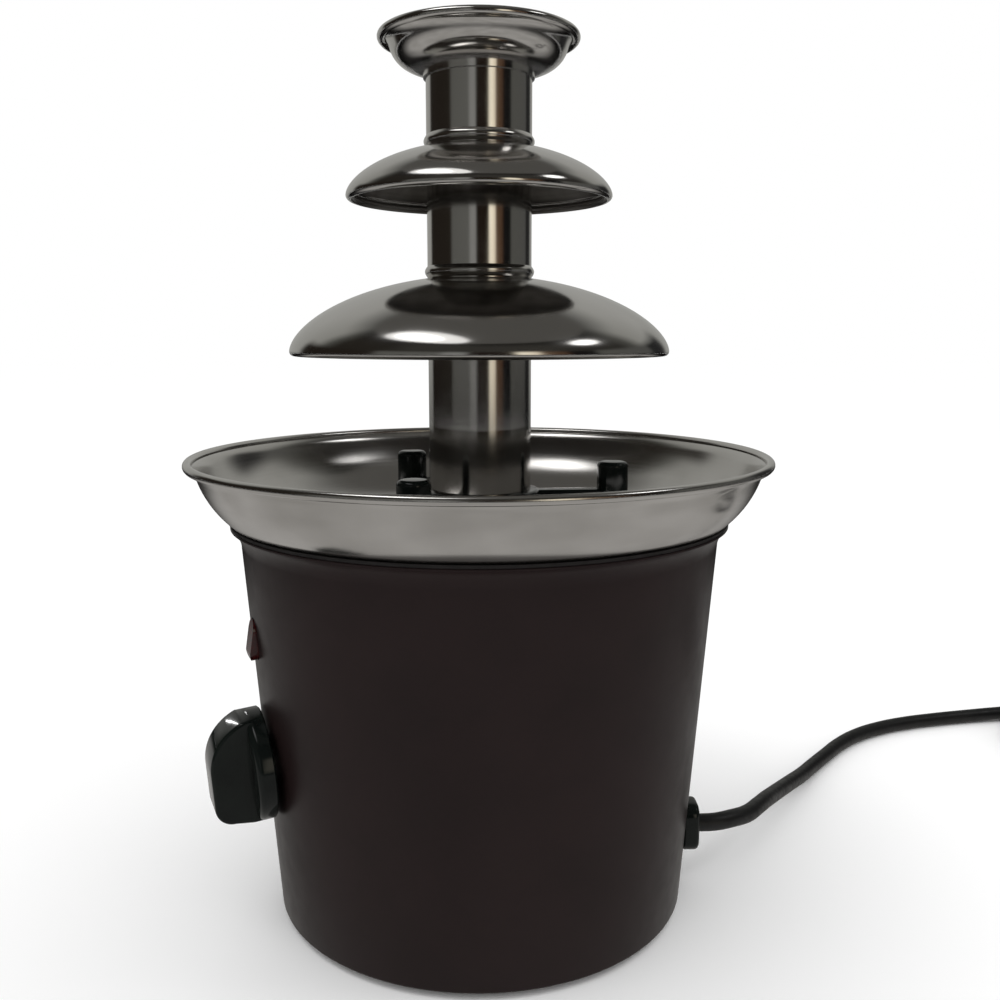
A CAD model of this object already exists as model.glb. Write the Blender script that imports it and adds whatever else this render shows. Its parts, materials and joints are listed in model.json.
# %% [markdown]
# # A chocolate fountain, dressed piece by piece
# The solids of the fountain come ready made, at their real size and in their real places. This lesson gives
# them their looks: steel sheet with rolled edges, satin brown plastic, a glossy black knob and a mains cord.
# Every new piece takes its size from the solid that it stands for, so the joints still work afterwards.

# %% Load the solids
import json
import math

import bpy
from mathutils import Matrix, Vector


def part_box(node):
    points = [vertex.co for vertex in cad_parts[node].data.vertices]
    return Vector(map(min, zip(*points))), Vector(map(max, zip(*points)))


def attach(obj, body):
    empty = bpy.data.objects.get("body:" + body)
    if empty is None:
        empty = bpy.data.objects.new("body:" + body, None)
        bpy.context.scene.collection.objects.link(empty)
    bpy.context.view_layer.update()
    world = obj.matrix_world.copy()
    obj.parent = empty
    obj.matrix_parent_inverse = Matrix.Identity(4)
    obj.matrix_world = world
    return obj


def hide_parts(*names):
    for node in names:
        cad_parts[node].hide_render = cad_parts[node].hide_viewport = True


mm = 0.001
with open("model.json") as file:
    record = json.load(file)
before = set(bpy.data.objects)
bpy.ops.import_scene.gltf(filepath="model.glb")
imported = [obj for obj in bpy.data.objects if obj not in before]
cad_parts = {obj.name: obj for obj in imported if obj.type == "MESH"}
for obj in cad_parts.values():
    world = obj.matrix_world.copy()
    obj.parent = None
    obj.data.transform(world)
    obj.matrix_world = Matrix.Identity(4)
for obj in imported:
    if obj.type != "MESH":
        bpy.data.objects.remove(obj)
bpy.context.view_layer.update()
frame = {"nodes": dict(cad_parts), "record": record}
nodes = frame["nodes"]

# %% [markdown]
# ## Camera
# The portrait is taken from close by, a little above the bowl and looking slightly down. A camera could be
# placed by eye, but its height, distance and lens were worked out from how flat the round rims look, so they
# are written here as numbers.

# %% Camera
camera_distance = 365.4 * mm
camera_height = 202.4 * mm
look_down = math.radians(9.13)
look_right = math.radians(1.09)
bpy.ops.object.camera_add(location=(0, -camera_distance, camera_height),
                          rotation=(math.pi / 2 - look_down, 0, -look_right))
camera = bpy.context.object
camera.name = "portrait_camera"
camera.data.sensor_width = 36
camera.data.lens = 37.84
camera.data.clip_start = 10 * mm
bpy.context.scene.camera = camera
print("camera lens in mm:", camera.data.lens)

# %% [markdown]
# ## Mains cord
# The cord leaves the base on the right, bends down and lies on the table. Its spare length is put away as a
# tied coil of two layers, and the plug lies beside it. It could be a chain of short cylinders, but those
# show their joints. A curve with a round section is smooth: its points are the route, and Blender rounds
# the bends between them. The coil's turns come from a loop.

# %% Route of the cord
cord_d = 6.6 * mm
route_to_coil = [
    (80, 0, 22), (87, 0.6, 22), (94, 3.3, 22), (101, 8.9, 21), (107, 17, 20), (113, 27, 18), (119, 38, 15),
    (126, 50, 12), (134, 63, 9), (143, 77, 6), (153, 92, 4), (163, 105, 3.3), (174, 118, 3.3),
    (187, 130, 3.3), (201, 139, 3.3), (217, 146, 3.3), (234, 151, 3.3), (252, 155, 3.4), (271, 158, 3.8),
    (290, 160, 4.3), (312, 160, 4.3)]
route_to_plug = [
    (319, 160, 11.5), (327, 160, 11.5), (338, 160, 10.6), (350, 160, 9), (362, 160, 7.5), (374, 160, 6.8),
    (384, 160, 6.8)]
coil_turns = 4
points_per_turn = 24
coil_r = 44
coil_pitch = 7.2
coil_start = route_to_coil[-1]
coil_centre = (coil_start[0], coil_start[1] - coil_r)


def coil_point(i):
    """Point i of the coil, in mm: in by two turns on the table, up a layer, out by two turns."""
    turn = i / points_per_turn
    from_middle = turn - coil_turns / 2
    r = coil_r - coil_pitch * (coil_turns / 2 - abs(from_middle))
    climb = min(1, max(0, 2 * from_middle + 0.5))
    a = math.pi / 2 - 2 * math.pi * turn
    z = coil_start[2] + coil_pitch * climb * climb * (3 - 2 * climb)
    return coil_centre[0] + r * math.cos(a), coil_centre[1] + r * math.sin(a), z


coil_points = [coil_point(i) for i in range(1, coil_turns * points_per_turn + 1)]
cord_points = [Vector(p) * mm for p in route_to_coil + coil_points + route_to_plug]

# %% Cord along the route
cord_line = bpy.data.curves.new("mains_cord", "CURVE")
cord_line.dimensions = "3D"
cord_line.bevel_depth = cord_d / 2
cord_line.bevel_resolution = 5
cord_line.resolution_u = 6
cord_line.use_fill_caps = True
spline = cord_line.splines.new("BEZIER")
spline.bezier_points.add(len(cord_points) - 1)
for knot, place in zip(spline.bezier_points, cord_points):
    knot.co = place
    knot.handle_left_type = "AUTO"
    knot.handle_right_type = "AUTO"
mains_cord = bpy.data.objects.new("mains_cord", cord_line)
bpy.context.scene.collection.objects.link(mains_cord)
print("cord made:", mains_cord.name)

# %% [markdown]
# ## How a finish is made
# A finish is a material with a few nodes. What is the same all over the surface is set on the shader itself.
# Noise patterns on Object coordinates then vary its colour, its roughness or its relief, at the size that
# the real surface has. A picture could be wrapped round each piece instead, but a pattern has no seams. The
# helpers below are the few groups of nodes that all the finishes share.

# %% Helpers for nodes
def set_inputs(node, inputs):
    """Set inputs by name or number: what another node puts out is linked, other values are copied."""
    for key, value in inputs.items():
        if isinstance(value, bpy.types.NodeSocket):
            node.id_data.links.new(value, node.inputs[key])
        else:
            node.inputs[key].default_value = value


def add_node(tree, kind, inputs, **settings):
    """A new node with its settings and its inputs."""
    node = tree.nodes.new("ShaderNode" + kind)
    for name, value in settings.items():
        setattr(node, name, value)
    set_inputs(node, inputs)
    return node


def map_range(tree, value, start, end, low, high):
    """A number that goes from low to high while another one goes from start to end."""
    inputs = {"Value": value, "From Min": start, "From Max": end, "To Min": low, "To Max": high}
    return add_node(tree, "MapRange", inputs).outputs["Result"]


def color_ramp(tree, value, stops):
    """Colours along a number from 0 to 1, from a list of places with their colours."""
    ramp = add_node(tree, "ValToRGB", {"Fac": value})
    elements = ramp.color_ramp.elements
    while len(elements) < len(stops):
        elements.new(0.5)
    for element, (position, color) in zip(elements, stops):
        element.position = position
        element.color = (*color, 1)
    return ramp.outputs["Color"]


print("node helpers ready")

# %% Patterns
def object_place(tree):
    """Where a point of the surface lies on its object."""
    return add_node(tree, "TexCoord", {}).outputs["Object"]


def grain(tree, size, stretch=(1, 1, 1), detail=3):
    """Noise whose specks have the given size, stretched along the axes that have a low number."""
    mapping = add_node(tree, "Mapping", {"Vector": object_place(tree), "Scale": stretch})
    inputs = {"Vector": mapping.outputs["Vector"], "Scale": 1 / size, "Detail": detail}
    return add_node(tree, "TexNoise", inputs).outputs["Fac"]


def turned_lines(tree, size, detail=4):
    """Fine rings round the upright axis, as a polishing wheel leaves them."""
    place = object_place(tree)
    flat = add_node(tree, "Mapping", {"Vector": place, "Scale": (1, 1, 0)})
    length = add_node(tree, "VectorMath", {0: flat.outputs["Vector"]}, operation="LENGTH")
    split = add_node(tree, "SeparateXYZ", {"Vector": place})
    join = add_node(tree, "CombineXYZ", {"X": length.outputs["Value"], "Z": split.outputs["Z"]})
    inputs = {"Vector": join.outputs["Vector"], "Scale": 1 / size, "Detail": detail}
    return add_node(tree, "TexNoise", inputs).outputs["Fac"]


print("pattern helpers ready")

# %% Helpers for finishes
finishes = {}
noise_low, noise_high = 0.3, 0.7
dark_up_to, light_from = 0.35, 0.65


def paint(red, green, blue):
    """A colour as a paint chart gives it, from 0 to 255, turned into the linear values of a shader."""
    shares = [v / 255 for v in (red, green, blue)]
    return [v / 12.92 if v < 0.04045 else ((v + 0.055) / 1.055) ** 2.4 for v in shares]


def start_finish(name, color, roughness, metallic=0.0):
    """A new material with one colour and one roughness, kept under its name."""
    material = bpy.data.materials.new(name)
    material.use_nodes = True
    shader = material.node_tree.nodes["Principled BSDF"]
    set_inputs(shader, {"Base Color": (*color, 1), "Roughness": roughness, "Metallic": metallic})
    finishes[name] = material
    return material.node_tree, shader


def two_tones(tree, shader, pattern, dark, light, name="Base Color"):
    """Let a pattern mix two close colours."""
    set_inputs(shader, {name: color_ramp(tree, pattern, [(dark_up_to, dark), (light_from, light)])})


def vary_roughness(tree, shader, pattern, low, high):
    """Let a pattern move the roughness between two values."""
    set_inputs(shader, {"Roughness": map_range(tree, pattern, noise_low, noise_high, low, high)})


def relief(tree, shader, pattern, depth, strength):
    """Let a pattern raise and lower the surface a little."""
    bump = add_node(tree, "Bump", {"Height": pattern, "Distance": depth, "Strength": strength})
    set_inputs(shader, {"Normal": bump.outputs["Normal"]})


print("mid grey in a shader:", [round(v, 3) for v in paint(128, 128, 128)])

# %% [markdown]
# ## Steel
# The bowl is satin: its fine turned rings spread a highlight sideways, which is what the shader's anisotropy
# is for. The tower is polished, with faint marks of drawing along the tubes and a few clouds where hands
# have wiped it. Both are one metal with different roughness, so they share a colour. Inside, the domes are
# left as they come off the spinning lathe, dull and dark.

# %% Satin and polished steel
steel_tint = (0.60, 0.585, 0.565)

tree, shader = start_finish("satin_steel", steel_tint, 0.22, 1.0)
set_inputs(shader, {"Anisotropic": 0.35})
rings = turned_lines(tree, 0.5 * mm)
vary_roughness(tree, shader, rings, 0.15, 0.22)
relief(tree, shader, rings, 0.02 * mm, 0.15)
two_tones(tree, shader, grain(tree, 25 * mm), (0.57, 0.555, 0.535), (0.63, 0.615, 0.595))

tree, shader = start_finish("polished_steel", steel_tint, 0.14, 1.0)
vary_roughness(tree, shader, grain(tree, 18 * mm), 0.11, 0.16)
relief(tree, shader, grain(tree, 0.6 * mm, (1, 1, 0.02)), 0.01 * mm, 0.1)

tree, shader = start_finish("dull_steel", (0.16, 0.15, 0.14), 0.38, 1.0)
two_tones(tree, shader, grain(tree, 9 * mm), (0.13, 0.12, 0.11), (0.19, 0.18, 0.17))
rings = turned_lines(tree, 0.6 * mm)
vary_roughness(tree, shader, rings, 0.32, 0.46)
relief(tree, shader, rings, 0.02 * mm, 0.2)
print("steel finishes:", [name for name in finishes if "steel" in name])

# %% [markdown]
# ## Plastics and rubber
# The base is moulded in dark brown plastic with a fine grain that breaks up reflections. The knob, the
# tower's foot and the plug are black and glossy, with the slight waviness of moulded plastic. Rubber is
# dull. One flat colour for each would look painted on, so two close tones are mixed.

# %% Plastics and rubber
tree, shader = start_finish("brown_plastic", paint(33, 24, 24), 0.33)
set_inputs(shader, {"Specular IOR Level": 0.15})
two_tones(tree, shader, grain(tree, 30 * mm), paint(30, 22, 22), paint(33, 24, 24))
vary_roughness(tree, shader, grain(tree, 6 * mm), 0.30, 0.36)
relief(tree, shader, grain(tree, 0.45 * mm), 0.02 * mm, 0.15)

tree, shader = start_finish("black_plastic", paint(14, 17, 16), 0.10)
set_inputs(shader, {"Specular IOR Level": 0.14, "Coat Weight": 0.2, "Coat Roughness": 0.06})
two_tones(tree, shader, grain(tree, 9 * mm), paint(12, 15, 14), paint(16, 20, 18))
vary_roughness(tree, shader, grain(tree, 4 * mm), 0.07, 0.13)
relief(tree, shader, grain(tree, 5 * mm, detail=1), 0.08 * mm, 0.08)

tree, shader = start_finish("white_plastic", paint(228, 224, 214), 0.45)
two_tones(tree, shader, grain(tree, 14 * mm), paint(222, 217, 206), paint(232, 228, 219))
vary_roughness(tree, shader, grain(tree, 3 * mm), 0.40, 0.52)
relief(tree, shader, grain(tree, 0.8 * mm), 0.02 * mm, 0.2)

tree, shader = start_finish("tie_plastic", paint(214, 214, 208), 0.40)
two_tones(tree, shader, grain(tree, 5 * mm), paint(206, 206, 199), paint(219, 219, 214))
relief(tree, shader, grain(tree, 0.7 * mm, (0.1, 1, 1)), 0.04 * mm, 0.3)

tree, shader = start_finish("black_rubber", paint(25, 22, 22), 0.75)
two_tones(tree, shader, grain(tree, 4 * mm), paint(22, 19, 19), paint(29, 25, 25))
relief(tree, shader, grain(tree, 0.3 * mm), 0.03 * mm, 0.4)

tree, shader = start_finish("seal_rubber", paint(205, 200, 190), 0.65)
two_tones(tree, shader, grain(tree, 3 * mm), paint(196, 190, 178), paint(212, 207, 198))
relief(tree, shader, grain(tree, 0.3 * mm), 0.02 * mm, 0.3)

tree, shader = start_finish("cord_sheath", paint(14, 14, 15), 0.45)
two_tones(tree, shader, grain(tree, 12 * mm), paint(12, 12, 13), paint(17, 17, 18))
vary_roughness(tree, shader, grain(tree, 2 * mm), 0.38, 0.55)
relief(tree, shader, grain(tree, 0.5 * mm), 0.03 * mm, 0.25)

tree, shader = start_finish("red_lens", paint(46, 11, 12), 0.12)
set_inputs(shader, {"Transmission Weight": 0.2, "IOR": 1.49})
two_tones(tree, shader, grain(tree, 2 * mm), paint(36, 9, 10), paint(56, 13, 13))
relief(tree, shader, grain(tree, 1.2 * mm, (1, 1, 0.05)), 0.05 * mm, 0.3)
print("finishes so far:", len(finishes))

# %% [markdown]
# ## Metals of the drive
# Inside the base are plated screws and brackets, a cast heater plate, turned brass and stacked iron sheet.
# Little of it shows, but the tower lifts off, and then the shaft and the studs are seen. One grey metal
# could serve for them all, but they differ in tone and gloss, so each has its own.

# %% Metals of the drive
tree, shader = start_finish("shaft_steel", (0.62, 0.62, 0.61), 0.22, 1.0)
vary_roughness(tree, shader, grain(tree, 0.4 * mm, (0.1, 0.1, 1)), 0.16, 0.30)
relief(tree, shader, turned_lines(tree, 0.3 * mm), 0.01 * mm, 0.2)

tree, shader = start_finish("zinc_steel", (0.58, 0.60, 0.61), 0.35, 1.0)
two_tones(tree, shader, grain(tree, 5 * mm), (0.52, 0.54, 0.56), (0.63, 0.64, 0.63))
vary_roughness(tree, shader, grain(tree, 2 * mm), 0.28, 0.45)
relief(tree, shader, grain(tree, 0.5 * mm), 0.01 * mm, 0.2)

tree, shader = start_finish("cast_aluminium", (0.60, 0.61, 0.62), 0.5, 1.0)
two_tones(tree, shader, grain(tree, 7 * mm), (0.54, 0.55, 0.56), (0.64, 0.65, 0.66))
relief(tree, shader, grain(tree, 0.8 * mm), 0.05 * mm, 0.4)

tree, shader = start_finish("lamination", (0.22, 0.21, 0.20), 0.5, 1.0)
sheets = grain(tree, 0.5 * mm, (0.01, 0.01, 1), 1)
two_tones(tree, shader, sheets, (0.16, 0.15, 0.14), (0.26, 0.25, 0.24))
relief(tree, shader, sheets, 0.05 * mm, 0.5)

tree, shader = start_finish("brass", (0.70, 0.52, 0.25), 0.25, 1.0)
two_tones(tree, shader, grain(tree, 3 * mm), (0.64, 0.46, 0.21), (0.74, 0.56, 0.28))
vary_roughness(tree, shader, grain(tree, 0.4 * mm, (0.1, 1, 1)), 0.18, 0.34)
relief(tree, shader, grain(tree, 0.4 * mm), 0.01 * mm, 0.2)

# %% [markdown]
# ## How a round piece is turned
# Bowl, domes, cup, tubes and base are all round, and the real ones are spun or turned on a machine. Here the
# same is done with two tools: a single point is extruded along the outline of half the section, and Spin
# carries that outline round the upright axis. A cylinder could be dented into shape instead, but an outline
# keeps every radius exact.

# %% Helpers that turn an outline
turning_steps = 192
weld = 0.001 * mm


def select_only(piece):
    """Make a piece the selected and the active one."""
    bpy.ops.object.select_all(action="DESELECT")
    piece.select_set(True)
    bpy.context.view_layer.objects.active = piece


def solid_box(node):
    """Lowest and highest corner of a solid, in mm."""
    low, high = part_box(node)
    return low / mm, high / mm


def draw_outline(name, outline):
    """Extrude one point along an outline in the upright plane, in mm, and leave the piece in edit mode."""
    outline = [(x * mm, z * mm) for x, z in outline]
    bpy.ops.mesh.primitive_plane_add(size=mm, location=(0, 0, 0))
    piece = bpy.context.object
    piece.name = name
    piece.data.name = name
    bpy.ops.object.mode_set(mode="EDIT")
    bpy.ops.mesh.merge(type="CENTER")
    bpy.ops.transform.translate(value=(outline[0][0], 0, outline[0][1]))
    for here, there in zip(outline, outline[1:] + outline[:1]):
        step = (there[0] - here[0], 0, there[1] - here[1])
        bpy.ops.mesh.extrude_vertices_move(TRANSFORM_OT_translate={"value": step})
    bpy.ops.mesh.select_all(action="SELECT")
    bpy.ops.mesh.remove_doubles(threshold=weld)
    return piece


def close_mesh():
    """Weld the piece that is in edit mode, point its faces outwards, and leave edit mode."""
    bpy.ops.mesh.select_all(action="SELECT")
    bpy.ops.mesh.remove_doubles(threshold=weld)
    bpy.ops.mesh.normals_make_consistent(inside=False)
    bpy.ops.object.mode_set(mode="OBJECT")


def turn(name, outline, steps=turning_steps):
    """A piece whose half section is a closed outline of (radius, height) points in mm."""
    piece = draw_outline(name, outline)
    bpy.ops.mesh.spin(steps=steps, angle=2 * math.pi, center=(0, 0, 0), axis=(0, 0, 1))
    close_mesh()
    return piece


print("turning steps:", turning_steps)

# %% Helpers for curves in an outline
def arc(centre, r, start, end, count=12):
    """Points on a circle, from one angle in degrees to another."""
    angles = [math.radians(start + (end - start) * i / count) for i in range(count + 1)]
    return [(centre[0] + r * math.cos(a), centre[1] + r * math.sin(a)) for a in angles]


def swept(start, control, end, count=10):
    """Points on a smooth curve from one point to another, pulled towards a third."""
    steps = [i / count for i in range(count + 1)]
    return [tuple((1 - t) ** 2 * a + 2 * t * (1 - t) * b + t * t * c for a, b, c in zip(start, control, end))
            for t in steps]


def rolled_edge(outside, inside, centre, r, clockwise=False, count=16):
    """Join two sides of a sheet by a rolled edge: both stop where they meet the roll."""
    def angle_of(p):
        return math.degrees(math.atan2(p[1] - centre[1], p[0] - centre[0]))

    outside = [p for p in outside if math.dist(p, centre) > r]
    inside = [p for p in inside if math.dist(p, centre) > r]
    start, end = angle_of(outside[-1]), angle_of(inside[0])
    sweep = -((start - end) % 360) if clockwise else (end - start) % 360
    return outside + arc(centre, r, start, start + sweep, count) + inside


print("points of a quarter circle:", len(arc((0, 0), 1, 0, 90)))

# %% Helper that dresses a piece
def dress(piece, slot, body, *replaced, smooth=35):
    """Shade a piece, give it its finish and its body, and let it stand for its solids."""
    select_only(piece)
    bpy.ops.object.shade_smooth_by_angle(angle=math.radians(smooth))
    piece.data.materials.clear()
    piece.data.materials.append(finishes[slot])
    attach(piece, body)
    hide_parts(*replaced)
    print(piece.name, "faces:", len(piece.data.polygons), "size in mm:",
          [round(v / mm, 1) for v in piece.dimensions])


print("finishes to dress with:", len(finishes))

# %% [markdown]
# ## Bowl
# The bowl is pressed from satin steel sheet: a flat floor with a hole for the shaft, a wide round corner,
# and a wall that flares into a rolled rim. Pushing a disc down would give the shape too, but the sheet's
# thickness would wander, so both faces of the sheet are drawn and the rim's roll joins them.

# %% Bowl
sheet = 0.8
lean = math.radians(18)
roll_r = 1.5
corner_points = 28
bowl_hole_r, bowl_corner_r, bowl_flare_w, bowl_flare_h = 7.2, 33.4, 4.2, 5.6


def corner_centre(high, corner_r, flare_w, flare_h):
    """Centre of a dish's round corner, from the highest corner of its box."""
    return high.x - flare_w - corner_r * math.cos(lean), high.z - flare_h + corner_r * math.sin(lean)


def dish_outline(node, hole_r, corner_r, flare_w, flare_h, collar_h=0):
    """Half section of a dish: hole, any collar below it, floor, round corner, flare and rolled rim."""
    high = solid_box(node)[1]
    corner = corner_centre(high, corner_r, flare_w, flare_h)
    floor_z = corner[1] - corner_r
    roll = (high.x - roll_r, high.z - roll_r)
    outer_end, inner_end = (roll[0], roll[1] - sheet / 2), (roll[0] - sheet, roll[1])
    sides = []
    for r, end in ((corner_r, outer_end), (corner_r - sheet, inner_end)):
        curve = arc(corner, r, -90, -math.degrees(lean), corner_points)
        start = curve[-1]
        control = (start[0] + flare_h / 2 * math.tan(lean), start[1] + flare_h / 2)
        sides.append(curve + swept(start, control, end)[1:])
    below = [(hole_r, floor_z)]
    if collar_h:
        collar_z = floor_z - collar_h
        below = [(hole_r, collar_z), (hole_r + sheet, collar_z), (hole_r + sheet, floor_z)]
    return rolled_edge(below + sides[0], sides[1][::-1] + [(hole_r, floor_z + sheet)], roll, roll_r)


bowl = turn("steel_bowl", dish_outline("bowl", bowl_hole_r, bowl_corner_r, bowl_flare_w, bowl_flare_h))
dress(bowl, "satin_steel", "base", "bowl")

# %% [markdown]
# ## Tubes
# Three polished tubes carry the tiers. The upper two end below in a narrower spigot that plugs into the tube
# underneath, and a small bead rolled into the sheet stops them there. A cylinder could be pinched at its
# end, but a turned outline has the sheet's thickness too.

# %% Tubes
tube_r = 17.65
tube_in_r = tube_r - sheet
spigot_r, spigot_h = 16.6, 14
bead_w, bead_h, bead_points = 0.9, 3.8, 12
ease = 0.2
tube_steps = 96


def plain_tube_outline(node):
    """Half section of a straight tube with eased edges."""
    low, high = solid_box(node)
    return [(tube_in_r, low.z), (tube_r - ease, low.z), (tube_r, low.z + ease), (tube_r, high.z - ease),
            (tube_r - ease, high.z), (tube_in_r, high.z)]


def plug_in_tube_outline(node):
    """Half section of a tube with a spigot below and a bead where the spigot starts."""
    low, high = solid_box(node)
    joint = low.z + spigot_h
    bead = [(tube_r + bead_w * math.sin(math.pi * i / bead_points), joint + bead_h * i / bead_points)
            for i in range(bead_points + 1)]
    spigot = [(spigot_r - sheet, low.z), (spigot_r - ease, low.z), (spigot_r, low.z + ease),
              (spigot_r, joint)]
    top = [(tube_r, high.z - ease), (tube_r - ease, high.z), (tube_in_r, high.z)]
    return spigot + bead + top + [(tube_in_r, joint + bead_h), (spigot_r - sheet, joint)]


lower_tube = turn("lower_steel_tube", plain_tube_outline("lower_tube"), tube_steps)
middle_tube = turn("middle_steel_tube", plug_in_tube_outline("middle_tube"), tube_steps)
upper_tube = turn("upper_steel_tube", plug_in_tube_outline("upper_tube"), tube_steps)
dress(lower_tube, "polished_steel", "lower_tier", "lower_tube")
dress(middle_tube, "polished_steel", "middle_tier", "middle_tube")
dress(upper_tube, "polished_steel", "top_tier", "upper_tube")

# %% [markdown]
# ## Domes and cup
# The chocolate runs over two domes. Each is spun from sheet with a full curve that steepens towards the rim,
# where it runs smoothly into a rolled hem, and a short collar grips the tube. Half a flattened ball would
# come close, but a formula with a number for the fullness fits better. The cup on top is a small dish.

# %% Domes and cup
grip_gap = 0.02
grip_r = tube_r + grip_gap
collar_h = 3
fullness = 0.6
hem_r = 1.5
dome_points = 48
cup_corner_r, cup_flare_w, cup_flare_h = 8.7, 4.1, 5


def dome_outline(node):
    """Half section of a dome: outside from the tube to the hem, back along the inside to the collar."""
    low, high = solid_box(node)
    rim_r, rim_z = high.x, low.z + hem_r
    crown = high.z - rim_z
    rise = crown / (1 - (grip_r / rim_r) ** 2) ** fullness

    def side(first_r, last_r, rise):
        angles = [math.pi / 2 * i / dome_points for i in range(dome_points + 1)]
        radii = [first_r + (last_r - first_r) * math.sin(a) for a in angles]
        return [(r, rim_z + rise * max(0, 1 - (r / last_r) ** 2) ** fullness) for r in radii]

    outside = side(grip_r, rim_r, rise)
    inside = side(grip_r + sheet, rim_r - sheet, rise - sheet)[::-1]
    collar_z = high.z - sheet - collar_h
    hem = (rim_r - hem_r, rim_z)
    return rolled_edge(outside, inside, hem, hem_r, True) + [(grip_r + sheet, collar_z), (grip_r, collar_z)]


large_dome = turn("large_steel_dome", dome_outline("large_dome"))
small_dome = turn("small_steel_dome", dome_outline("small_dome"), steps=160)
cup_outline = dish_outline("top_cup", grip_r, cup_corner_r, cup_flare_w, cup_flare_h, collar_h)
top_cup = turn("steel_cup", cup_outline, steps=128)
dress(large_dome, "polished_steel", "lower_tier", "large_dome")
dress(small_dome, "polished_steel", "middle_tier", "small_dome")
dress(top_cup, "polished_steel", "top_tier", "top_cup")

# %% Dull inside of the domes
hem_cover = hem_r + 0.1
facing_down = -0.1
for dome in (large_dome, small_dome):
    inside_r = dome.dimensions.x / 2 - hem_cover * mm
    dome.data.materials.append(finishes["dull_steel"])
    inside = [face for face in dome.data.polygons
              if face.normal.z < facing_down and math.hypot(face.center.x, face.center.y) < inside_r]
    for face in inside:
        face.material_index = 1
    print(dome.name, "dull faces:", len(inside))

# %% [markdown]
# ## Housing
# The base is one moulding: a tapered wall that sweeps out into a thin lip under the bowl, and a small round
# along its lower edge. It is turned like the steel. The holes for the switch, the lamp and the cord are then
# cut with the Boolean modifier, and the screw posts inside are joined on with it.

# %% Housing
wall, foot_drop = 2.4, 2
bottom_r, top_r = 72.4, 82.1
flare_h, flare_w, lip_edge, lip_ease = 7.2, 3.5, 0.6, 0.2
edge_r, edge_shift = 1.4, 0.1
even_shading_at = (30, 60, 90, 115)
housing_high = solid_box("housing")[1]
lip_r, flare_z = housing_high.x, housing_high.z - flare_h
slope = (top_r - bottom_r) / (flare_z - foot_drop)
wall_tilt = math.atan(slope)
sweep_r = (flare_w ** 2 + (flare_h - lip_edge) ** 2) / (2 * flare_w)
bowl_corner = corner_centre(solid_box("bowl")[1], bowl_corner_r, bowl_flare_w, bowl_flare_h)
seat_r = math.dist(bowl_corner, (lip_r - lip_edge / 2, housing_high.z))


def wall_r(z):
    """Outer radius of the wall at a height."""
    return bottom_r + slope * (z - foot_drop)


def corner_angle(distance, r):
    """Direction from the centre of the bowl's corner to the point at that distance and that radius."""
    return -math.degrees(math.acos((r - bowl_corner[0]) / distance))


sweep_end = math.degrees(math.acos((lip_r - top_r - sweep_r) / sweep_r))
housing_outline = (
    arc((bottom_r - edge_r + edge_shift, foot_drop + edge_r), edge_r, -90, -math.degrees(wall_tilt), 8)
    + [(wall_r(z), z) for z in even_shading_at]
    + arc((top_r + sweep_r, flare_z), sweep_r, 180, sweep_end, 16)
    + [(lip_r, housing_high.z - lip_ease)]
    + arc(bowl_corner, seat_r, corner_angle(seat_r, lip_r - lip_edge / 2),
          corner_angle(seat_r, wall_r(flare_z) - wall), 12)
    + [(wall_r(foot_drop) - wall, foot_drop)])
housing = turn("base_housing", housing_outline)
print("housing turned, lip at", round(lip_r, 2), "mm, seat radius", round(seat_r, 2), "mm")

# %% [markdown]
# ## Joining, cutting and placing
# A moulding is often a few plain bodies grown together, with holes through it. The Boolean modifier joins
# and cuts. Holes could be modelled face by face, but in a round and sloping wall that is far more work. Each
# helper writes its result into the mesh, so that no piece is left with a modifier or a moved origin.

# %% Helpers that join and place
control_az = math.radians(202)


def set_place(piece, place):
    """Put a piece in its place, and write the place into its mesh."""
    select_only(piece)
    piece.matrix_world = place
    bpy.ops.object.transform_apply(location=True, rotation=True, scale=True)


def combine(piece, tool, operation, place=None):
    """Unite, cut or intersect a piece with a tool, put in its place first and cleared away after."""
    if place is not None:
        set_place(tool, place)
    select_only(piece)
    modifier = piece.modifiers.new("combine", "BOOLEAN")
    modifier.operation = operation
    modifier.solver = "EXACT"
    modifier.object = tool
    bpy.ops.object.modifier_apply(modifier=modifier.name)
    bpy.data.objects.remove(tool)


def round_edges(piece, width, segments=4, angle=35):
    """Bevel the sharp edges of a piece."""
    select_only(piece)
    modifier = piece.modifiers.new("round", "BEVEL")
    modifier.width = width * mm
    modifier.segments = segments
    modifier.limit_method = "ANGLE"
    modifier.angle_limit = math.radians(angle)
    bpy.ops.object.modifier_apply(modifier=modifier.name)


def on_wall(z):
    """Place on the wall at a height: X runs down the wall, Z points straight out of it."""
    return (Matrix.Rotation(control_az, 4, "Z") @ Matrix.Translation((wall_r(z) * mm, 0, z * mm))
            @ Matrix.Rotation(math.pi / 2 + wall_tilt, 4, "Y"))


print("wall tilt in degrees:", round(math.degrees(wall_tilt), 2))

# %% Helpers that add plain bodies
def just_added(name):
    """The piece that was just added, with a name and with its place written into its mesh."""
    piece = bpy.context.object
    piece.name = name
    bpy.ops.object.transform_apply(location=True, rotation=True, scale=True)
    return piece


def add_rod(name, r, z0, z1, steps=64):
    """An upright rod between two heights, in mm."""
    bpy.ops.mesh.primitive_cylinder_add(vertices=steps, radius=r * mm, depth=(z1 - z0) * mm,
                                        location=(0, 0, (z0 + z1) / 2 * mm))
    return just_added(name)


def add_block(name, low, high):
    """A block between two corners, in mm."""
    bpy.ops.mesh.primitive_cube_add(size=1, location=[(a + b) / 2 * mm for a, b in zip(low, high)])
    bpy.context.object.scale = [(b - a) * mm for a, b in zip(low, high)]
    return just_added(name)


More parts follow.
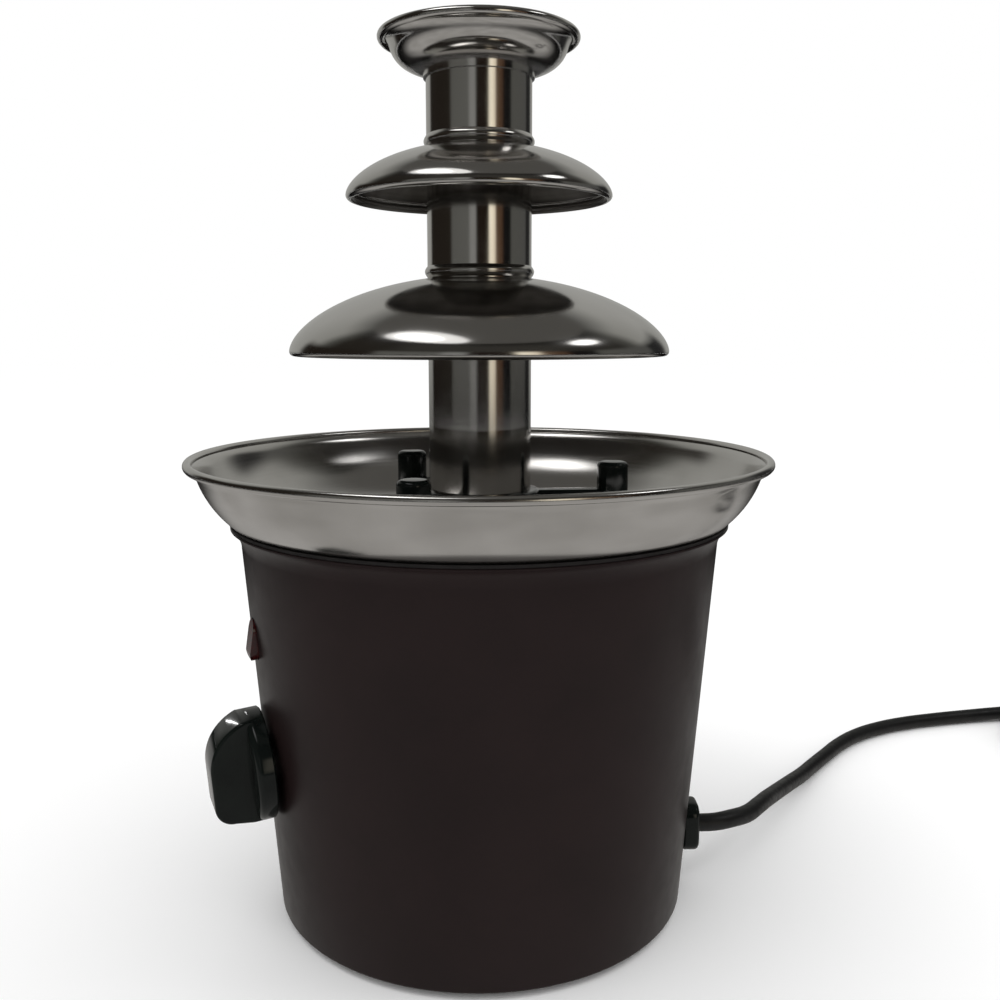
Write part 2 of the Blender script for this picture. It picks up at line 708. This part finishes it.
def add_stadium(name, length, width, z0, z1):
    """A block with two round ends, long along X."""
    straight = (length - width) / 2
    stadium = add_block(name, (-straight, -width / 2, z0), (straight, width / 2, z1))
    for side in (-1, 1):
        end = add_rod("round_end", width / 2, z0, z1)
        combine(stadium, end, "UNION", Matrix.Translation((side * straight * mm, 0, 0)))
    return stadium


print("control is at degrees:", round(math.degrees(control_az)))

# %% Holes of the housing
knob_z, lamp_z, cord_z = 60, 102.5, 22
cut_from, cut_to = -6, 4
switch_hole_r = 4.7
lamp_hole_l, lamp_hole_w = 14.4, 8.4
cord_hole_r, cord_hole_from, cord_hole_to = 6.1, 60, 90
switch_hole = add_rod("switch_hole", switch_hole_r, cut_from, cut_to)
combine(housing, switch_hole, "DIFFERENCE", on_wall(knob_z))
lamp_hole = add_stadium("lamp_hole", lamp_hole_l, lamp_hole_w, cut_from, cut_to)
combine(housing, lamp_hole, "DIFFERENCE", on_wall(lamp_z))
cord_hole = add_rod("cord_hole", cord_hole_r, cord_hole_from, cord_hole_to)
to_the_right = Matrix.Rotation(math.pi / 2, 4, "Y")
combine(housing, cord_hole, "DIFFERENCE", Matrix.Translation((0, 0, cord_z * mm)) @ to_the_right)
print("holes for the switch, the lamp and the cord at mm:", knob_z, lamp_z, cord_z)

# %% Screw posts of the housing
post_circle_r, post_r, post_low, post_high = 58, 4.5, 6, 34
web_end, web_w, web_inset = 71.4, 3, 0.2
for quarter in range(4):
    direction = Matrix.Rotation(math.radians(45 + 90 * quarter), 4, "Z")
    post = add_rod("screw_post", post_r, post_low, post_high, steps=32)
    combine(housing, post, "UNION", direction @ Matrix.Translation((post_circle_r * mm, 0, 0)))
    web = add_block("post_web", (post_circle_r, -web_w / 2, post_low + web_inset),
                    (web_end, web_w / 2, post_high - web_inset))
    combine(housing, web, "UNION", direction)
dress(housing, "brown_plastic", "base", "housing", smooth=28)

# %% [markdown]
# ## Gasket
# A thin black ring seals the gap between the lip and the bowl. From the side it shows as a dark line. It
# could be a plain torus, but the real one follows the bowl's corner, so its two faces are arcs about the
# same centre.

# %% Gasket
gasket_w, gasket_ease, seat_gap = 4, 0.3, 0.1
gasket_low_r = bowl_corner_r + seat_gap
gasket_high_r = seat_r - seat_gap
gasket_outline = (
    arc(bowl_corner, gasket_high_r, corner_angle(gasket_high_r, lip_r - gasket_w),
        corner_angle(gasket_high_r, lip_r - gasket_ease), 8)
    + arc(bowl_corner, (gasket_low_r + gasket_high_r) / 2, corner_angle(gasket_high_r, lip_r),
          corner_angle(gasket_low_r, lip_r), 1)
    + arc(bowl_corner, gasket_low_r, corner_angle(gasket_low_r, lip_r - gasket_ease),
          corner_angle(gasket_low_r, lip_r - gasket_w), 8))
gasket = turn("bowl_seal_ring", gasket_outline)
dress(gasket, "black_rubber", "base", "bowl_gasket")

# %% [markdown]
# ## Foot of the tower
# A black moulding holds the lower tube over the drive: a ring round the tube, three arms, and three posts
# whose sockets drop over studs in the bowl. A post is turned and an arm is a rounded block. An array could
# copy them round the axis, but a loop can unite each one with the ring at once.

# %% Ring of the tower's foot
ring_floor, ring_h, ring_wall = 1.3, 11, 3
ring_low_round, ring_top_round = 1, 1.2
tube_low = solid_box("lower_tube")[0].z
ring_low = tube_low - ring_floor
ring_top = ring_low + ring_h
ring_r = grip_r + ring_wall
ring_outline = (
    [(tube_in_r, ring_low)]
    + arc((ring_r - ring_low_round, ring_low + ring_low_round), ring_low_round, -90, 0, 5)
    + arc((ring_r - ring_top_round, ring_top - ring_top_round), ring_top_round, 0, 90, 5)
    + [(grip_r, ring_top), (grip_r, tube_low), (tube_in_r, tube_low)])
foot = turn("tower_foot_moulding", ring_outline, tube_steps)
print("ring from", round(ring_low, 2), "to", round(ring_top, 2), "mm")

# %% Arms and posts of the tower's foot
stud_circle_r, first_arm_at = 47, 4
socket_r, foot_post_r, post_low_round, post_top_round = 3.25, 5.5, 0.8, 1.8
arm_h, arm_w, arm_drop, arm_round = 8, 7, 0.6, 1.2
arm_into_ring, arm_short_of_stud = 1.5, 4
foot_low, foot_high = solid_box("tower_foot")
stud_top = solid_box("bowl_studs")[1].z
post_outline = (
    [(socket_r, foot_low.z)]
    + arc((foot_post_r - post_low_round, foot_low.z + post_low_round), post_low_round, -90, 0, 4)
    + arc((foot_post_r - post_top_round, foot_high.z - post_top_round), post_top_round, 0, 90, 8)
    + [(0, foot_high.z), (0, stud_top), (socket_r, stud_top)])
arm_top = ring_top - arm_drop
for third in range(3):
    direction = Matrix.Rotation(math.radians(first_arm_at + 120 * third), 4, "Z")
    arm = add_block("foot_arm", (ring_r - arm_into_ring, -arm_w / 2, arm_top - arm_h),
                    (stud_circle_r - arm_short_of_stud, arm_w / 2, arm_top))
    round_edges(arm, arm_round)
    combine(foot, arm, "UNION", direction)
    post = turn("foot_post", post_outline, steps=48)
    combine(foot, post, "UNION", direction @ Matrix.Translation((stud_circle_r * mm, 0, 0)))
dress(foot, "black_plastic", "lower_tier", "tower_foot")

# %% [markdown]
# ## Auger
# A white screw inside the tower lifts the chocolate. Its flight is one small section that the Screw modifier
# carries round and up the core, seven turns less a little. The section could follow a spiral curve instead,
# but it might twist there. The flight's ends are closed before it is united with the core.

# %% Flight of the auger
auger_low, auger_high = solid_box("auger")
lead, flight_t, flight_r, core_r = 22, 2.6, 15.2, 6.5
flight_sunk, tip_w, tip_half, edge_half = 1, 0.4, 1.1, 0.7
steps_per_turn = 48
climb = auger_high.z - auger_low.z - flight_t
lower_half = [(core_r - flight_sunk, -flight_t / 2), (flight_r - tip_w, -tip_half), (flight_r, -edge_half)]
flight = draw_outline("auger_flight", lower_half + [(r, -z) for r, z in lower_half[::-1]])
bpy.ops.mesh.edge_face_add()
bpy.ops.object.mode_set(mode="OBJECT")
screw = flight.modifiers.new("flight", "SCREW")
screw.angle = 2 * math.pi * climb / lead
screw.screw_offset = climb * mm
screw.steps = screw.render_steps = round(steps_per_turn * climb / lead)
screw.use_merge_vertices = False
bpy.ops.object.modifier_apply(modifier=screw.name)
start_turn = Matrix.Rotation(2 * math.pi * flight_t / 2 / lead, 4, "Z")
set_place(flight, Matrix.Translation((0, 0, (auger_low.z + flight_t / 2) * mm)) @ start_turn)
print("flight corners:", len(flight.data.vertices), "turns:", round(climb / lead, 3))

# %% Core of the auger
core_round = 1
hexagon_r, hexagon_depth = 3.8, 10.3
select_only(flight)
bpy.ops.object.mode_set(mode="EDIT")
bpy.ops.mesh.select_all(action="SELECT")
bpy.ops.mesh.fill_holes(sides=0)
close_mesh()
core_top = arc((core_r - core_round, auger_high.z - core_round), core_round, 0, 90, 5)
core_outline = [(0, auger_low.z), (core_r, auger_low.z)] + core_top + [(0, auger_high.z)]
auger = turn("auger_screw", core_outline, steps_per_turn)
combine(auger, flight, "UNION")
hexagon = add_rod("hexagon_socket", hexagon_r, auger_low.z - 1, auger_low.z + hexagon_depth, steps=6)
combine(auger, hexagon, "DIFFERENCE")
dress(auger, "white_plastic", "auger", "auger")

# %% [markdown]
# ## Knob
# The control is a round skirt with a tall grip across it. The grip's side view is drawn and pulled out to
# its width. A wide bevel rounds it like a moulded knob, and the skirt's round trims it. The bevel comes
# before the trim, because the short edges that a trim leaves would hold it small. The knob is made flat on
# the table first, then set on the sloping wall.

# %% Skirt of the knob
knob_r, knob_gap, knob_reach = 18.7, 1, 20
skirt_h, skirt_ease, skirt_round = 6, 0.5, 2.2
knob_steps = 96
skirt_top = knob_gap + skirt_h
skirt_outline = (
    [(0, knob_gap), (knob_r - skirt_ease, knob_gap), (knob_r, knob_gap + skirt_ease)]
    + arc((knob_r - skirt_round, skirt_top - skirt_round), skirt_round, 0, 90, 8) + [(0, skirt_top)])
knob = turn("control_knob_cap", skirt_outline, knob_steps)
print("skirt of the knob in mm:", [round(v / mm, 1) for v in knob.dimensions])

# %% Grip of the knob
grip_w, grip_sunk, grip_round = 15, 5, 3.5
tail_r, tail_draft, pointer_r = 6, 2.2, 17
grip_low = skirt_top - grip_sunk
tail = arc((knob_r - tail_draft - tail_r, knob_reach - tail_r), tail_r, 0, 90)
pointer = [(pointer_r - knob_r + pointer_r * x, grip_low + (knob_reach - grip_low) * z)
           for x, z in arc((0, 0), 1, 90, 180, 24)]
grip = draw_outline("knob_grip", [(knob_r, grip_low)] + tail + pointer)
bpy.ops.mesh.edge_face_add()
bpy.ops.transform.translate(value=(0, -grip_w / 2 * mm, 0))
bpy.ops.mesh.extrude_region_move(TRANSFORM_OT_translate={"value": (0, grip_w * mm, 0)})
close_mesh()
round_edges(grip, grip_round, segments=7, angle=40)
combine(grip, add_rod("skirt_round", knob_r, 0, knob_reach + 10, knob_steps), "INTERSECT")
combine(knob, grip, "UNION")
print("knob with its grip in mm:", [round(v / mm, 1) for v in knob.dimensions])

# %% Bores of the knob
shaft_bore_r, bore_cover = 3.02, 5
nut_pocket_r, nut_pocket_h = 8.5, 4
combine(knob, add_rod("shaft_bore", shaft_bore_r, 0, knob_reach - bore_cover), "DIFFERENCE")
combine(knob, add_rod("nut_pocket", nut_pocket_r, 0, nut_pocket_h), "DIFFERENCE")
set_place(knob, on_wall(knob_z))
dress(knob, "black_plastic", "knob", "control_knob")

# %% [markdown]
# ## Strain relief
# A black bush guards the cord where it leaves the base. Its flange is a block with round corners and a
# softened front edge, flat on the wall. Inside, a tapered tail holds the cord. A bevel in edit mode rounds
# the corners, because only the four edges along the cord get that large radius.

# %% Flange of the strain relief
flange_t, flange_corner_r, flange_round = 6.5, 5, 1.6
bush_low, bush_high = solid_box("strain_relief")
bush = add_block("cord_bush", (bush_high.x - flange_t, bush_low.y, bush_low.z), tuple(bush_high))
bpy.ops.object.mode_set(mode="EDIT")
bpy.ops.mesh.select_mode(type="EDGE")
bpy.ops.mesh.select_all(action="DESELECT")
bpy.ops.object.mode_set(mode="OBJECT")
for edge in bush.data.edges:
    start, end = (bush.data.vertices[i].co for i in edge.vertices)
    edge.select = abs(start.x - end.x) > mm
bpy.ops.object.mode_set(mode="EDIT")
bpy.ops.mesh.bevel(offset=flange_corner_r * mm, segments=8, affect="EDGES")
bpy.ops.mesh.select_mode(type="VERT")
bpy.ops.object.mode_set(mode="OBJECT")
round_edges(bush, flange_round, angle=50)
print("flange in mm:", [round(v / mm, 1) for v in bush.dimensions])

# %% Tail and bore of the strain relief
tail_h, tail_small_r, neck_r, neck_h = 18, 4.5, 5.9, 5.5
bore_gap = 0.02
along_cord = Matrix.Translation((bush_low.x * mm, 0, cord_z * mm)) @ to_the_right
tail_outline = [(0, 0), (tail_small_r, 0), (neck_r, tail_h), (neck_r, tail_h + neck_h), (0, tail_h + neck_h)]
combine(bush, turn("cord_bush_tail", tail_outline, steps=48), "UNION", along_cord)
combine(bush, add_rod("cord_bore", cord_d / mm / 2 + bore_gap, -1, 40), "DIFFERENCE", along_cord)
dress(bush, "black_plastic", "base", "strain_relief")

# %% [markdown]
# ## Pieces kept as they are
# Screws, gears, the motor and the other small solids could be modelled again, but they already have their
# real shape. They keep it and take the finish of their slot in the record.

# %% Finishes of the kept solids
slot_of = {part["node"]: part["material_slot"] for part in frame["record"]["subparts"]}
for name, solid in nodes.items():
    solid.data.materials.clear()
    solid.data.materials.append(finishes[slot_of[name]])
print("solids with a finish:", len(slot_of))

# %% [markdown]
# ## Facts of the cord
# A cord is a fixed length of something flexible. The plug and the tie belong to it, so they are named with
# it. The facts could be left to whoever uses the model, but the route knows them best.

# %% Facts of the cord
mains_cord.data.materials.append(finishes["cord_sheath"])
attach(mains_cord, "base")
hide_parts("cord_free", "cord_coil")

# %% [markdown]
# ## Floor and sky
# The set is a plain white floor under an even white sky, so every colour shows about as it is written. A
# picture of a studio could light the scene instead, but the plain sky gives the clean white page that a
# catalogue has.

# %% Floor
floor_size = 12
bpy.ops.mesh.primitive_plane_add(size=floor_size)
floor = bpy.context.object
floor.name = "studio_floor"
floor_paper = bpy.data.materials.new("floor_paper")
floor_paper.use_nodes = True
paper = floor_paper.node_tree.nodes["Principled BSDF"]
set_inputs(paper, {"Base Color": (1, 1, 1, 1), "Roughness": 1, "Specular IOR Level": 0})
floor.data.materials.append(floor_paper)
print("floor:", floor.name)

# %% Sky
scene = bpy.context.scene
scene.view_settings.view_transform = "Standard"
sky = bpy.data.worlds.new("even_sky")
sky.use_nodes = True
set_inputs(sky.node_tree.nodes["Background"], {"Color": (1, 1, 1, 1), "Strength": 1})
scene.world = sky
print("view transform:", scene.view_settings.view_transform)

# %% [markdown]
# ## Reflected surroundings
# Polished steel shows its surroundings, and those of a studio are dark behind the lamps. A round screen, a
# ceiling and a table top that only reflections see stand for them. The screen is mostly dark, with a few
# lighter strips. Real walls could be built, but they would also shade the white floor.

# %% Strips of the screen
back_wall = (0.42, 0.42, 0.40)
low_strips = [
    (-180, -133, back_wall, (0.38, 0.38, 0.36)),
    (-126, -66, (0.020, 0.016, 0.013), (0.022, 0.018, 0.014)),
    (-60, -24, (0.13, 0.13, 0.12), (0.14, 0.14, 0.13)),
    (-19, -9, (0.28, 0.28, 0.27), (0.30, 0.30, 0.29)),
    (-5, 18, (0.015, 0.010, 0.007)),
    (23, 33, (1.4, 1.29, 1.04), (1.1, 0.97, 0.76)),
    (37, 50, (0.12, 0.07, 0.04), (0.09, 0.05, 0.03)),
    (54, 69, (0.008, 0.008, 0.008)),
    (74, 118, (0.11, 0.11, 0.10), (0.10, 0.10, 0.095)),
    (124, 140, (0.02, 0.02, 0.02), (0.03, 0.03, 0.03)),
    (148, 180, (0.36, 0.36, 0.34), back_wall)]
high_strips = [
    (-180, -150, back_wall),
    (-121, -109, (0.34, 0.34, 0.32), (0.08, 0.08, 0.072)),
    (-99, -62, (0.025, 0.022, 0.018)),
    (-42, 42, (0.045, 0.043, 0.038)),
    (62, 97, (0.03, 0.028, 0.024), (0.035, 0.033, 0.029)),
    (109, 122, (0.09, 0.09, 0.082), (0.34, 0.34, 0.32)),
    (150, 180, back_wall)]


def strip_colors(tree, share, strips):
    """Colours by direction: a strip has two ends, in degrees from the front, and one or two colours."""
    stops = []
    for start, end, *colors in strips:
        stops += [((start + 180) / 360, colors[0]), ((end + 180) / 360, colors[-1])]
    return color_ramp(tree, share, stops)


print("strips low and high:", len(low_strips), len(high_strips))

# %% Helpers for surfaces that shine
room_r, room_h, room_steps = 1.6, 2.4, 96


def shine_in_reflections(name):
    """Let the surface that was just added shine in reflections, and hide it from everything else."""
    surface = just_added(name)
    surface.visible_camera = False
    surface.visible_diffuse = False
    surface.visible_transmission = False
    surface.visible_shadow = False
    material = bpy.data.materials.new(name + "_paint")
    material.use_nodes = True
    material.cycles.emission_sampling = "NONE"
    surface.data.materials.append(material)
    tree = material.node_tree
    tree.nodes.remove(tree.nodes["Principled BSDF"])
    shine = add_node(tree, "Emission", {})
    set_inputs(tree.nodes["Material Output"], {"Surface": shine.outputs["Emission"]})
    return tree, shine


def calculate(tree, operation, one, other):
    """A number worked out from two others."""
    return add_node(tree, "Math", {0: one, 1: other}, operation=operation).outputs["Value"]


print("room in m, across and high:", 2 * room_r, room_h)

# %% Round screen
low_up_to, high_from = 0.7, 0.95
bright_from, foot_strength = 0.2, 0.35
bright_up_to, top_strength = 1.6, 0.3
bpy.ops.mesh.primitive_cylinder_add(vertices=room_steps, radius=room_r, depth=room_h,
                                    end_fill_type="NOTHING", location=(0, 0, room_h / 2))
tree, shine = shine_in_reflections("dark_screen")
split = add_node(tree, "SeparateXYZ", {"Vector": object_place(tree)})
right, back, up = (split.outputs[axis] for axis in "XYZ")
direction = calculate(tree, "ARCTAN2", right, calculate(tree, "MULTIPLY", back, -1))
share = map_range(tree, direction, -math.pi, math.pi, 0, 1)
# A mix node has its own sockets for each kind of value. Those for colours are 6 and 7, and 2 going out.
mix = add_node(tree, "Mix", {0: map_range(tree, up, low_up_to, high_from, 0, 1),
                             6: strip_colors(tree, share, low_strips),
                             7: strip_colors(tree, share, high_strips)}, data_type="RGBA")
dim_below = map_range(tree, up, 0, bright_from, foot_strength, 1)
dim_above = map_range(tree, up, bright_up_to, room_h, 1, top_strength)
set_inputs(shine, {"Color": mix.outputs[2], "Strength": calculate(tree, "MULTIPLY", dim_below, dim_above)})
print("nodes of the screen's paint:", len(tree.nodes))

# %% Dark ceiling
bpy.ops.mesh.primitive_circle_add(vertices=room_steps, radius=room_r, fill_type="NGON",
                                  location=(0, 0, room_h))
tree, shine = shine_in_reflections("dark_ceiling")
set_inputs(shine, {"Color": (0.10, 0.097, 0.090, 1)})
print("ceiling at m:", room_h)

# %% Grey table, dark far off and behind the object
table_z, table_r, table_cloud = 0.5 * mm, 1.5, 0.15
behind_from, behind_to, behind_strength = 0.2, 0.5, 0.06
far_from, far_to, far_strength = 0.45, 0.9, 0.12
bpy.ops.mesh.primitive_circle_add(vertices=room_steps, radius=table_r, fill_type="NGON",
                                  location=(0, 0, table_z))
tree, shine = shine_in_reflections("grey_table")
two_tones(tree, shine, grain(tree, table_cloud), (0.36, 0.35, 0.335), (0.47, 0.46, 0.445), "Color")
place = object_place(tree)
split = add_node(tree, "SeparateXYZ", {"Vector": place})
length = add_node(tree, "VectorMath", {0: place}, operation="LENGTH")
dim_behind = map_range(tree, split.outputs["Y"], behind_from, behind_to, 1, behind_strength)
dim_far = map_range(tree, length.outputs["Value"], far_from, far_to, 1, far_strength)
set_inputs(shine, {"Strength": calculate(tree, "MULTIPLY", dim_behind, dim_far)})
print("table top across in m:", 2 * table_r)

# %% [markdown]
# ## Lamps
# Two large soft lamps stand in front, left and right. A gloss shows each lamp as a highlight, so each has a
# brighter core, which softens the highlight's edge. A small lamp that lights the knob alone gives it the
# short streak that glossy black plastic has. It could be a light spot in the finish, but that would turn
# with the knob.

# %% Soft lamps
lamp_distance = 1.35
lamp_target = Vector((0, 0, 0.2))


def soft_lamp(name, azimuth, elevation, width, height, power):
    """An oval lamp that faces the object, in a direction in degrees from the front and up from the table."""
    turn_right, tip_up = math.radians(azimuth), math.radians(elevation)
    towards = Vector((math.sin(turn_right) * math.cos(tip_up), -math.cos(turn_right) * math.cos(tip_up),
                      math.sin(tip_up)))
    bpy.ops.object.light_add(type="AREA", location=lamp_target + lamp_distance * towards)
    lamp = bpy.context.object
    lamp.name = name
    lamp.data.shape = "ELLIPSE"
    lamp.data.size = width
    lamp.data.size_y = height
    lamp.data.energy = power
    lamp.rotation_euler = (-towards).to_track_quat("-Z", "Y").to_euler()
    lamp.visible_camera = False
    return lamp


soft_lamp("left_softbox", -52, 63, 1.05, 0.50, 1.6)
soft_lamp("left_softbox_core", -60, 62, 0.60, 0.30, 0.8)
soft_lamp("right_softbox", 78, 43, 0.44, 0.26, 0.45)
soft_lamp("right_softbox_core", 78, 43, 0.26, 0.16, 0.8)

# %% Lamp for the knob alone
knob_alone = bpy.data.collections.new("knob_alone")
knob_alone.objects.link(knob)
knob_lamp = soft_lamp("knob_lamp", -138, 12, 0.02, 0.34, 0.7)
knob_lamp.light_linking.receiver_collection = knob_alone
